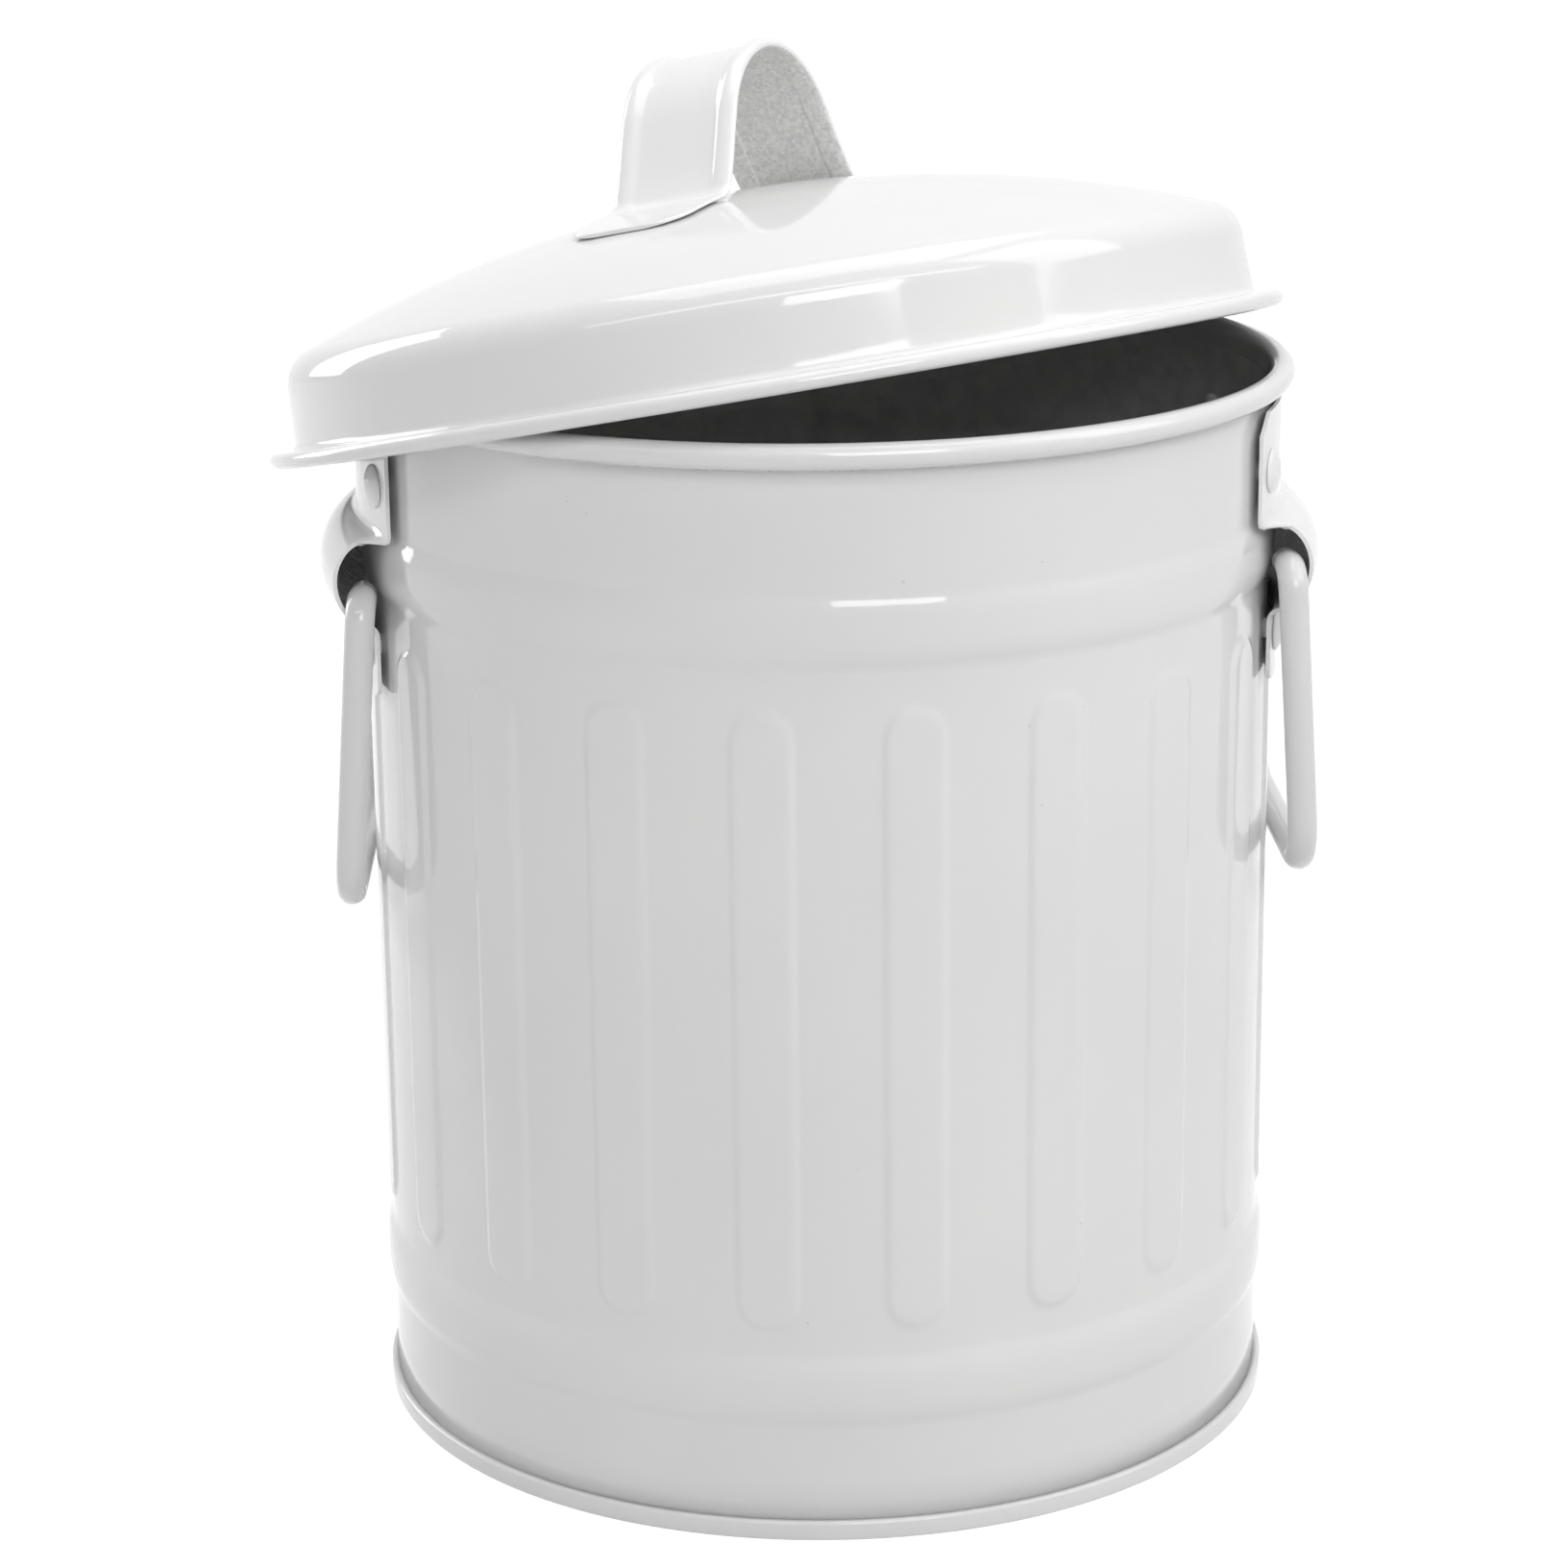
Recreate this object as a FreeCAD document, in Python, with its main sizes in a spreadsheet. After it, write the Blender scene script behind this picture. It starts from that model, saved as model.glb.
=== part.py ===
import FreeCAD, Part
import math
import os
import Sketcher

# Lidded steel bin: a ribbed sheet can with a rolled rim, two riveted ears that each carry a
# swinging wire bail, and a domed lid with a strap handle, lying askew on the rim.
# Origin: centre of the base ring on the floor. X runs ear to ear, -Y is the front, Z is up.

SIZES = [
    ("sheet", 0.5, "thickness of the can and lid sheet"),
    ("can_radius", 90.0, "outside of the plain wall"),
    ("can_height", 213.5, "floor to the top of the rolled rim"),
    ("rim_roll", 2.4, "outer radius of the rolled rim's tube"),
    ("rim_reach", 94.3, "outside radius of the rolled rim"),
    ("wall_foot", 0.7, "height of the wall's lower edge inside the base seam"),
    ("swage_rise", 1.1, "how far the two hoop swages stand out"),
    ("swage_span", 13.5, "height of one hoop swage"),
    ("upper_swage", 178.2, "height of the upper swage's crown"),
    ("lower_swage", 30.2, "height of the lower swage's crown"),
    ("rib_count", 20, "pressed upright ribs round the wall"),
    ("rib_first", 9.0, "azimuth of the first rib from the front"),
    ("rib_width", 12.6, "width of a rib at the wall"),
    ("rib_low", 42.4, "lower end of the ribs"),
    ("rib_high", 164.3, "upper end of the ribs"),
    ("rib_rise", 0.8, "how far a rib stands out"),
    ("rib_slope", 40.0, "slope of a rib's sides"),
    ("seam_width", 5.0, "width of the wall's lapped upright seam"),
    ("base_reach", 91.45, "outside radius of the base seam"),
    ("base_seam", 3.9, "height of the base seam"),
    ("base_lift", 3.6, "height of the pan's floor above the ground"),
    ("base_step", 70.0, "radius of the step pressed into the pan"),
    ("base_step_rise", 1.5, "height of that step"),
    ("ear_sheet", 1.0, "thickness of the ear plate"),
    ("ear_flat", 7.0, "how much flatter than the wall the plate is bent"),
    ("ear_stand", 0.85, "how far the plate stands off the wall, on the ribs"),
    ("ear_top", 206.8, "upper edge of the ear, under the rim"),
    ("ear_low", 152.5, "lower edge of the ear"),
    ("ear_shoulder", 184.2, "lower edge of the ear's wide upper flange"),
    ("ear_half", 39.4, "half width of the upper flange"),
    ("ear_half_top", 34.5, "half width at the clipped top corners"),
    ("ear_clip", 4.0, "height of the clipped top corners"),
    ("ear_half_low", 30.3, "half width of the lower flange"),
    ("ear_corner", 2.2, "corner radius of the plate"),
    ("hump_half", 33.6, "half length of the tunnel pressed in the ear"),
    ("hump_radius", 10.24, "outer radius of the tunnel's section"),
    ("hump_middle", 89.16, "centre of that section from the can's axis"),
    ("hump_height", 176.0, "height of the tunnel's centre"),
    ("hump_bend", 34.2, "offset of the centre about which the tunnel curves"),
    ("rivet_shank", 2.0, "radius of a rivet's shank"),
    ("rivet_head", 4.3, "radius of a rivet's domed head"),
    ("rivet_dome", 1.9, "height of that head"),
    ("rivet_tail", 3.2, "radius of the upset end inside the can"),
    ("rivet_tail_depth", 1.0, "thickness of the upset end"),
    ("rivet_high", 195.0, "height of the upper rivets"),
    ("rivet_low", 161.6, "height of the lower rivets"),
    ("rivet_high_angle", 19.5, "upper rivets, degrees to each side round the plate's bend"),
    ("rivet_low_angle", 14.1, "lower rivets, degrees to each side round the plate's bend"),
    ("rod", 2.9, "radius of the bail's rod"),
    ("right_bail_out", 90.2, "right pin axis from the middle of the can"),
    ("right_bail_up", 176.0, "height of the right pin axis"),
    ("right_bail_lean", 3.4, "lean of the right bail, which rests off the wall"),
    ("left_bail_out", 89.4, "left pin axis from the middle of the can"),
    ("left_bail_up", 172.6, "height of the left pin axis, lower in its wide tunnel"),
    ("left_bail_lean", 4.2, "lean of the left bail, which rests off the wall"),
    ("bail_half", 37.0, "half distance between the bail's legs"),
    ("bail_pin_tip", 28.0, "distance of a pin's tip from the middle"),
    ("bail_drop", 60.2, "pin axis to the middle of the grip bar"),
    ("bail_pin_bend", 4.5, "bend between leg and pin"),
    ("bail_grip_bend", 11.0, "bend between leg and grip bar"),
    ("lid_skirt", 96.75, "outside radius of the skirt at its foot"),
    ("lid_skirt_top", 96.3, "outside radius of the skirt at its top"),
    ("lid_skirt_high", 15.0, "height at which the shoulder begins"),
    ("lid_shoulder", 7.85, "outer radius of the shoulder"),
    ("lid_dome", 249.3, "outer radius of the domed top"),
    ("lid_bead_reach", 102.3, "outside radius of the lid's rolled edge"),
    ("lid_bead", 1.6, "outer radius of that roll's tube"),
    ("lid_flare", 1.5, "outer radius where the skirt turns out"),
    ("strap_width", 25.5, "width of the lid handle's strap"),
    ("strap_sheet", 0.8, "thickness of the strap"),
    ("strap_hem", 4.6, "width of the folded hem along each edge"),
    ("strap_top", 28.5, "top of the strap above the dome"),
    ("strap_crown", 24.0, "outer radius of the strap's crown"),
    ("strap_foot", 32.4, "where a foot begins, from the middle of the handle"),
    ("strap_bed", 0.1, "how far a foot is bedded down on the dome"),
    ("strap_heel", 3.0, "radius where a leg turns into its foot"),
    ("strap_toe", 53.5, "end of a foot from the middle of the handle"),
    ("strap_toe_corner", 8.0, "corner radius of a foot"),
    ("strap_shift", -1.5, "how far the handle sits off the middle of the lid"),
    ("strap_turn", 63.3, "direction of the handle on the lid"),
    ("lid_tilt", 12.86, "tilt of the lid as it lies; 0 on a closed bin"),
    ("lid_lean", 131.0, "direction towards which the lid leans"),
    ("lid_shift_x", -7.7, "shift of the lid as it lies; 0 on a closed bin"),
    ("lid_shift_y", 7.9, "shift of the lid as it lies; 0 on a closed bin"),
    ("lid_height", 205.5, "height of the lid's rolled edge at its middle; 193 on a closed bin"),
]

doc = FreeCAD.newDocument("lidded_bin")
sheet = doc.addObject("Spreadsheet::Sheet", "Sizes")
for row, (name, number, note) in enumerate(SIZES, start=1):
    sheet.set(f"A{row}", name)
    sheet.set(f"B{row}", str(number))
    sheet.set(f"C{row}", note)
    sheet.setAlias(f"B{row}", name)
doc.recompute()

Y_AXIS = FreeCAD.Vector(0, 1, 0)
Z_AXIS = FreeCAD.Vector(0, 0, 1)
SIDES = (("right", 0), ("left", 180))


def value(text):
    """The number that an expression on the sheet's cells gives."""
    return float(sheet.evalExpression(cells(text)))


def cells(text):
    """Plain cell names in an expression, written the way the document wants them."""
    words = []
    word = ""
    for letter in text + " ":
        if letter.isalnum() or letter == "_":
            word += letter
            continue
        words.append("Sizes." + word if sheet.getCellFromAlias(word) else word)
        words.append(letter)
        word = ""
    return "".join(words).strip()


def new_body(label):
    body = doc.addObject("PartDesign::Body", label)
    body.Label = label
    return body


def new_sketch(body, name, role, turn=None, lift=None):
    """A sketch on one of the body's own planes, turned about the can's axis or lifted off it."""
    sketch = body.newObject("Sketcher::SketchObject", f"{body.Name}_{name}")
    plane = [item for item in body.Origin.OriginFeatures if item.Role == role][0]
    sketch.AttachmentSupport = [(plane, "")]
    sketch.MapMode = "FlatFace"
    if turn:
        sketch.AttachmentOffset = FreeCAD.Placement(FreeCAD.Vector(), Y_AXIS, value(turn))
    if lift:
        sketch.setExpression("AttachmentOffset.Base.z", cells(lift))
        if turn:
            sketch.setExpression("AttachmentOffset.Base.x", cells(f"({lift}) * sin({turn})"))
            sketch.setExpression("AttachmentOffset.Base.z", cells(f"({lift}) * cos({turn})"))
    return sketch


def pin_point(sketch, geometry, end, across, up):
    """Ties one point of a sketch to expressions for its two coordinates."""
    for kind, text, axis in (("DistanceX", across, -2), ("DistanceY", up, -1)):
        if text == "0":
            sketch.addConstraint(Sketcher.Constraint("PointOnObject", geometry, end, axis))
            continue
        index = sketch.addConstraint(
            Sketcher.Constraint(kind, -1, 1, geometry, end, value(text)))
        sketch.setExpression(f"Constraints[{index}]", cells(text))


def arc_between(start, end, radius, side, long_way):
    """The circle centre of an arc that leaves start for end, turning left (1) or right (-1)."""
    chord = end - start
    half = chord.Length / 2
    sagitta = math.sqrt(max(radius * radius - half * half, 0.0))
    left = FreeCAD.Vector(-chord.y, chord.x, 0).normalize()
    toward = side if not long_way else -side
    return (start + end) * 0.5 + left * (sagitta * toward)


def draw_path(sketch, points, closed=True):
    """Lines and arcs through points (across, up[, radius, side[, long_way]]), each bound to
    the sheet; the radius belongs to the stretch that leaves the point."""
    places = [FreeCAD.Vector(value(p[0]), value(p[1]), 0) for p in points]
    count = len(points) if closed else len(points) - 1
    ends = []
    for i in range(count):
        start, end = places[i], places[(i + 1) % len(places)]
        if len(points[i]) == 2:
            geometry = sketch.addGeometry(Part.LineSegment(start, end), False)
            ends.append((geometry, 1, 2))
            continue
        radius, side = points[i][2], points[i][3]
        long_way = len(points[i]) > 4
        centre = arc_between(start, end, value(radius), side, long_way)
        first = math.atan2(start.y - centre.y, start.x - centre.x)
        last = math.atan2(end.y - centre.y, end.x - centre.x)
        if side < 0:
            first, last = last, first
        circle = Part.Circle(centre, Z_AXIS, value(radius))
        geometry = sketch.addGeometry(Part.ArcOfCircle(circle, first, last), False)
        ends.append((geometry, 1, 2) if side > 0 else (geometry, 2, 1))
        if abs((end - start).Length - 2 * value(radius)) < 1e-6:
            index = sketch.addConstraint(
                Sketcher.Constraint("DistanceY", -1, 1, geometry, 3, value(points[i][1])))
            sketch.setExpression(f"Constraints[{index}]", cells(points[i][1]))
            continue
        index = sketch.addConstraint(Sketcher.Constraint("Radius", geometry, value(radius)))
        sketch.setExpression(f"Constraints[{index}]", cells(radius))
    for i, (geometry, head, tail) in enumerate(ends):
        if closed or i + 1 < count:
            after = ends[(i + 1) % count]
            sketch.addConstraint(
                Sketcher.Constraint("Coincident", geometry, tail, after[0], after[1]))
        pin_point(sketch, geometry, head, points[i][0], points[i][1])
    if not closed:
        pin_point(sketch, ends[-1][0], ends[-1][2], points[-1][0], points[-1][1])


def draw_circle(sketch, across, up, radius):
    centre = FreeCAD.Vector(value(across), value(up), 0)
    geometry = sketch.addGeometry(Part.Circle(centre, Z_AXIS, value(radius)), False)
    pin_point(sketch, geometry, 3, across, up)
    index = sketch.addConstraint(Sketcher.Constraint("Radius", geometry, value(radius)))
    sketch.setExpression(f"Constraints[{index}]", cells(radius))


def draw_axis(sketch, across):
    """An upright construction line, about which a section is turned."""
    foot = FreeCAD.Vector(value(across), 0, 0)
    line = Part.LineSegment(foot, foot + FreeCAD.Vector(0, 10, 0))
    geometry = sketch.addGeometry(line, True)
    sketch.addConstraint(Sketcher.Constraint("Vertical", geometry))
    pin_point(sketch, geometry, 1, across, "0")


def spin(body, name, sketch, angle="360", about="V_Axis", cut=False):
    """Turns a section about an upright line, evenly to both sides of the X axis."""
    kind = "PartDesign::Groove" if cut else "PartDesign::Revolution"
    feature = body.newObject(kind, f"{body.Name}_{name}")
    feature.Profile = sketch
    feature.ReferenceAxis = (sketch, [about])
    feature.Midplane = True
    feature.setExpression("Angle", cells(angle))
    return feature


def extrude(body, name, sketch, length, cut=False, both=False, backwards=False):
    kind = "PartDesign::Pocket" if cut else "PartDesign::Pad"
    feature = body.newObject(kind, f"{body.Name}_{name}")
    feature.Profile = sketch
    feature.Midplane = both
    feature.Reversed = backwards
    feature.setExpression("Length", cells(length))
    return feature


def bore(body, name, radius, depth, base, rotation):
    """A round hole through a body along any direction."""
    hole = body.newObject("PartDesign::SubtractiveCylinder", f"{body.Name}_{name}")
    hole.setExpression("Radius", cells(radius))
    hole.setExpression("Height", cells(depth))
    hole.Placement = FreeCAD.Placement(base, rotation)
    return hole


def rivet_places(turn):
    """Each rivet of one ear: its name, its angle from the ear's middle and its height."""
    places = []
    front = -1 if turn == 0 else 1
    for level, angle, up in (("upper", "rivet_high_angle", "rivet_high"),
                             ("lower", "rivet_low_angle", "rivet_low")):
        places.append((f"{level}_front", front * value(angle), value(up)))
        places.append((f"{level}_rear", -front * value(angle), value(up)))
    return places


def rivet_line(turn, angle, depth, up):
    """A point on a rivet's line, a depth below the ear plate's face, and its way outwards."""
    reach = value("can_radius + ear_stand + ear_sheet + ear_flat")
    lean = FreeCAD.Rotation(Z_AXIS, angle)
    spot = lean.multVec(FreeCAD.Vector(reach - depth, 0, up)) - FreeCAD.Vector(value("ear_flat"), 0, 0)
    out = FreeCAD.Rotation(Z_AXIS, turn)
    return out.multVec(spot), out.multiply(lean).multiply(FreeCAD.Rotation(Y_AXIS, 90))


def swage(crown, inset):
    """Points of one hoop swage, going up the wall, on its outer (inset 0) or inner face."""
    half = "swage_span / 2"
    bow = "(swage_rise ^ 2 + (swage_span / 2) ^ 2) / (2 * swage_rise)"
    face = f"can_radius - {inset}"
    return [(face, f"{crown} - {half}", f"{bow} - {inset}", 1), (face, f"{crown} + {half}")]


def make_can_wall():
    """The rolled wall: two hoop swages, a rim rolled outwards over its wire, pressed ribs."""
    body = new_body("can_wall")
    section = new_sketch(body, "section", "XZ_Plane")
    roll = "can_height - rim_roll"
    middle = "rim_reach - rim_roll"
    low_end = "(rim_roll * sin(45))"
    low_in = "((rim_roll - sheet) * sin(45))"
    outside = [("can_radius", "wall_foot")] + swage("lower_swage", "0")
    outside += swage("upper_swage", "0")
    outside += [("can_radius", roll, "rim_roll - sheet", -1, "long"),
                (f"{middle} - {low_in}", f"{roll} - {low_in}"),
                (f"{middle} - {low_end}", f"{roll} - {low_end}", "rim_roll", 1, "long"),
                ("can_radius - sheet", roll)]
    inner = swage("lower_swage", "sheet") + swage("upper_swage", "sheet")
    inner = [inner[3], inner[2], inner[1], inner[0]]
    inside = []
    for i, point in enumerate(inner):
        across, up = point[0], point[1]
        if i % 2 == 0:
            inside.append((across, up, inner[i + 1][2], -1))
        else:
            inside.append((across, up))
    inside.append(("can_radius - sheet", "wall_foot"))
    draw_path(section, outside + inside)
    spin(body, "wall", section)

    rib = new_sketch(body, "rib_face", "XZ_Plane", turn="rib_first", lift="can_radius - 0.3")
    draw_rib(rib, "rib_width / 2")
    raised = extrude(body, "rib", rib, "rib_rise + 0.3")
    raised.setExpression("TaperAngle", cells("-rib_slope"))
    back = new_sketch(body, "rib_back", "XZ_Plane", turn="rib_first",
                      lift="can_radius + rib_rise - sheet")
    draw_rib(back, "rib_width / 2 - rib_rise - 0.1")
    hollow = extrude(body, "rib_hollow", back, "rib_rise + sheet", cut=True)
    doc.recompute()
    ring = body.newObject("PartDesign::PolarPattern", "can_wall_ribs")
    ring.Originals = [raised, hollow]
    axis = [item for item in body.Origin.OriginFeatures if item.Role == "Z_Axis"][0]
    ring.Axis = (axis, [""])
    ring.Angle = 360
    ring.setExpression("Occurrences", cells("rib_count"))
    body.Tip = ring
    doc.recompute()

    seam = new_sketch(body, "seam_face", "XY_Plane", lift="base_seam + 2")
    draw_path(seam, [("-seam_width / 2", "can_radius - 2 * sheet - 0.1"),
                     ("seam_width / 2", "can_radius - 2 * sheet - 0.1"),
                     ("seam_width / 2", "can_radius - sheet / 2"),
                     ("-seam_width / 2", "can_radius - sheet / 2")])
    extrude(body, "seam", seam, "can_height - 2 * rim_roll - base_seam - 2")

    for side, turn in SIDES:
        for name, angle, up in rivet_places(turn):
            base, rotation = rivet_line(turn, angle, 7, up)
            bore(body, f"hole_{side}_{name}", "rivet_shank", "10", base, rotation)
    return body


def draw_rib(sketch, half):
    """The upright slot shape of one rib; its half width is also its end radius."""
    low, high = "rib_low + rib_width / 2", "rib_high - rib_width / 2"
    draw_path(sketch, [(f"-({half})", low, half, 1), (half, low),
                       (half, high, half, 1), (f"-({half})", high)])


def make_rim_wire():
    """The round wire inside the rolled rim."""
    body = new_body("rim_wire")
    section = new_sketch(body, "section", "XZ_Plane")
    draw_circle(section, "rim_reach - rim_roll", "can_height - rim_roll", "rim_roll - sheet")
    spin(body, "ring", section)
    return body


def make_base_pan():
    """The pressed base: a raised floor whose edge is folded round the wall's foot."""
    body = new_body("base_pan")
    section = new_sketch(body, "section", "XZ_Plane")
    inner = "can_radius - sheet"
    draw_path(section, [
        ("0", "base_lift + base_step_rise"),
        ("0", "base_lift + base_step_rise - sheet"),
        ("base_step - 1", "base_lift + base_step_rise - sheet"),
        ("base_step + 0.5", "base_lift - sheet"),
        (f"{inner} - sheet - 1", "base_lift - sheet"),
        (f"{inner} - sheet", "base_lift - sheet - 1"),
        (f"{inner} - sheet", "0.6", "0.6", 1),
        (f"{inner} - sheet + 0.6", "0"),
        ("base_reach - 0.7", "0", "0.7", 1),
        ("base_reach", "0.7"),
        ("base_reach", "base_seam - 0.6", "0.6", 1),
        ("base_reach - 0.6", "base_seam"),
        ("can_radius", "base_seam"),
        ("can_radius", "wall_foot"),
        (inner, "wall_foot"),
        (inner, "base_lift"),
        ("base_step + 1", "base_lift"),
        ("base_step - 0.5", "base_lift + base_step_rise"),
    ])
    spin(body, "pan", section)
    return body


def make_ear(side, turn):
    """One ear: a plate bent a little flatter than the wall, with a tunnel for the bail's pins
    pressed across its middle."""
    body = new_body(f"{side}_ear")
    plate = new_sketch(body, "plate_section", "XZ_Plane")
    draw_axis(plate, "-ear_flat")
    face = "can_radius + ear_stand"
    draw_path(plate, [(face, "ear_low"), (f"{face} + ear_sheet", "ear_low"),
                      (f"{face} + ear_sheet", "ear_top"), (face, "ear_top")])
    spin(body, "plate", plate, "56", about="Axis0")
    hump = new_sketch(body, "tunnel_section", "XZ_Plane")
    draw_axis(hump, "-hump_bend")
    draw_circle(hump, "hump_middle", "hump_height", "hump_radius")
    spin(body, "tunnel", hump, "34", about="Axis0")
    hollow = new_sketch(body, "hollow_section", "XZ_Plane")
    draw_axis(hollow, "-hump_bend")
    draw_circle(hollow, "hump_middle", "hump_height", "hump_radius - ear_sheet")
    spin(body, "tunnel_hollow", hollow, "40", about="Axis0", cut=True)
    inner = new_sketch(body, "inner_section", "XZ_Plane")
    draw_axis(inner, "-ear_flat")
    draw_path(inner, [("can_radius / 2", "ear_low - 5"), (face, "ear_low - 5"),
                      (face, "ear_top + 5"), ("can_radius / 2", "ear_top + 5")])
    spin(body, "inner_face", inner, "90", about="Axis0", cut=True)

    outline = new_sketch(body, "outline", "YZ_Plane")
    draw_path(outline, [("-ear_half - 20", "ear_low - 20"), ("ear_half + 20", "ear_low - 20"),
                        ("ear_half + 20", "ear_top + 20"), ("-ear_half - 20", "ear_top + 20")])
    low_root = "hump_height - hump_radius"
    half = [("ear_half_low - ear_corner", "ear_low", "ear_corner", 1),
            ("ear_half_low", "ear_low + ear_corner"),
            ("ear_half_low", f"{low_root} - 1.2"),
            ("hump_half", f"{low_root} + 3.5"),
            ("hump_half", "ear_shoulder + 0.4", "1.2", -1),
            ("hump_half + 1.2", "ear_shoulder"),
            ("ear_half - ear_corner", "ear_shoulder", "ear_corner", 1),
            ("ear_half", "ear_shoulder + ear_corner"),
            ("ear_half", "ear_top - ear_clip"),
            ("ear_half_top", "ear_top")]
    other = []
    for i in range(len(half) - 1, -1, -1):
        across, up = "-(" + half[i][0] + ")", half[i][1]
        before = half[i - 1] if i else half[0]
        if i and len(before) > 2:
            other.append((across, up, before[2], before[3]))
        else:
            other.append((across, up))
    draw_path(outline, half + other)
    extrude(body, "trim", outline, "150", cut=True, backwards=True)
    for name, angle, up in rivet_places(turn):
        base, rotation = rivet_line(0, angle, 7, up)
        bore(body, f"hole_{name}", "rivet_shank", "15", base, rotation)
    body.Placement = FreeCAD.Placement(FreeCAD.Vector(), Z_AXIS, turn)
    return body


def make_rivet(label, turn, angle, up):
    """A rivet through ear and wall, with a domed head outside and an upset end inside."""
    body = new_body(label)
    section = new_sketch(body, "section", "XZ_Plane")
    offset, inner = value("ear_flat"), value("can_radius - sheet")
    lean = math.radians(angle)
    wall = offset * math.cos(lean) + math.sqrt(inner ** 2 - (offset * math.sin(lean)) ** 2)
    grip = value("can_radius + ear_stand + ear_sheet + ear_flat") - wall + 0.18
    dome = "(rivet_head ^ 2 + rivet_dome ^ 2) / (2 * rivet_dome)"
    draw_path(section, [
        ("0", "rivet_dome", dome, -1),
        ("rivet_head", "0"),
        ("rivet_shank", "0"),
        ("rivet_shank", f"{-grip}"),
        ("rivet_tail", f"{-grip}"),
        ("rivet_tail", f"{-grip} - rivet_tail_depth"),
        ("0", f"{-grip} - rivet_tail_depth")])
    spin(body, "rivet", section)
    base, rotation = rivet_line(turn, angle, 0, up)
    body.Placement = FreeCAD.Placement(base, rotation)
    return body


def make_bail(side, turn):
    """One drop bail: a round rod bent to a U whose two ends turn inwards as hinge pins."""
    body = new_body(f"{side}_bail")
    route = new_sketch(body, "route", "YZ_Plane")
    half, drop = "bail_half", "bail_drop"
    half_route = [("bail_pin_tip", "0"), (f"{half} - bail_pin_bend", "0", "bail_pin_bend", -1),
                  (half, "-bail_pin_bend"),
                  (half, f"-({drop} - bail_grip_bend)", "bail_grip_bend", -1),
                  (f"{half} - bail_grip_bend", f"-({drop})")]
    other = [(f"-({half} - bail_grip_bend)", f"-({drop})", "bail_grip_bend", -1),
             (f"-({half})", f"-({drop} - bail_grip_bend)"),
             (f"-({half})", "-bail_pin_bend", "bail_pin_bend", -1),
             (f"-({half} - bail_pin_bend)", "0"), ("-bail_pin_tip", "0")]
    draw_path(route, half_route + other, closed=False)
    section = new_sketch(body, "section", "XZ_Plane", lift="-bail_pin_tip")
    draw_circle(section, "0", "0", "rod")
    doc.recompute()
    pipe = body.newObject("PartDesign::AdditivePipe", f"{side}_bail_rod")
    pipe.Profile = (section, [""])
    pipe.Spine = (route, [""])
    out = FreeCAD.Rotation(Z_AXIS, turn)
    base = out.multVec(FreeCAD.Vector(value(f"{side}_bail_out"), 0, value(f"{side}_bail_up")))
    lean = FreeCAD.Rotation(Y_AXIS, -value(f"{side}_bail_lean"))
    body.Placement = FreeCAD.Placement(base, out.multiply(lean))
    return body


def lid_place():
    """Where the lid lies: its own frame has the rolled edge's foot at height 0."""
    lean = math.radians(value("lid_lean"))
    axis = FreeCAD.Vector(-math.sin(lean), math.cos(lean), 0)
    base = FreeCAD.Vector(value("lid_shift_x"), value("lid_shift_y"), value("lid_height"))
    return FreeCAD.Placement(base, FreeCAD.Rotation(axis, value("lid_tilt")))


def shoulder_end(radius):
    """Where a shoulder arc of this radius runs into the dome, and the top of that dome."""
    centre = value("lid_skirt_top - lid_shoulder"), value("lid_skirt_high")
    dome = value("lid_dome - lid_shoulder") + radius
    slope = math.asin(centre[0] / value("lid_dome - lid_shoulder"))
    end = centre[0] + radius * math.sin(slope), centre[1] + radius * math.cos(slope)
    top = end[1] + dome * (1 - math.cos(slope))
    return end, top


def make_lid_shell():
    """The pressed lid: dome, rounded shoulder, skirt and an edge rolled outwards and under."""
    body = new_body("lid_shell")
    section = new_sketch(body, "section", "XZ_Plane")
    outer_end, outer_top = shoulder_end(value("lid_shoulder"))
    inner_end, inner_top = shoulder_end(value("lid_shoulder - sheet"))
    middle = "lid_bead_reach - lid_bead"
    tail = "(lid_bead * sin(40))"
    tail_up = "(lid_bead * cos(40))"
    tail_in = "((lid_bead - sheet) * sin(40))"
    tail_in_up = "((lid_bead - sheet) * cos(40))"
    draw_path(section, [
        ("0", f"{outer_top}", "lid_dome", -1),
        (f"{outer_end[0]}", f"{outer_end[1]}", "lid_shoulder", -1),
        ("lid_skirt_top", "lid_skirt_high"),
        ("lid_skirt", "2 * lid_bead + lid_flare", "lid_flare", 1),
        ("lid_skirt + lid_flare", "2 * lid_bead"),
        (middle, "2 * lid_bead", "lid_bead", -1, "long"),
        (f"{middle} - {tail}", f"lid_bead - {tail_up}"),
        (f"{middle} - {tail_in}", f"lid_bead - {tail_in_up}", "lid_bead - sheet", 1, "long"),
        (middle, "2 * lid_bead - sheet"),
        ("lid_skirt + lid_flare", "2 * lid_bead - sheet", "lid_flare + sheet", -1),
        ("lid_skirt - sheet", "2 * lid_bead + lid_flare"),
        ("lid_skirt_top - sheet", "lid_skirt_high", "lid_shoulder - sheet", 1),
        (f"{inner_end[0]}", f"{inner_end[1]}", "lid_dome - sheet", 1),
        ("0", f"{inner_top}")])
    spin(body, "shell", section)
    body.Placement = lid_place()
    return body


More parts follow.
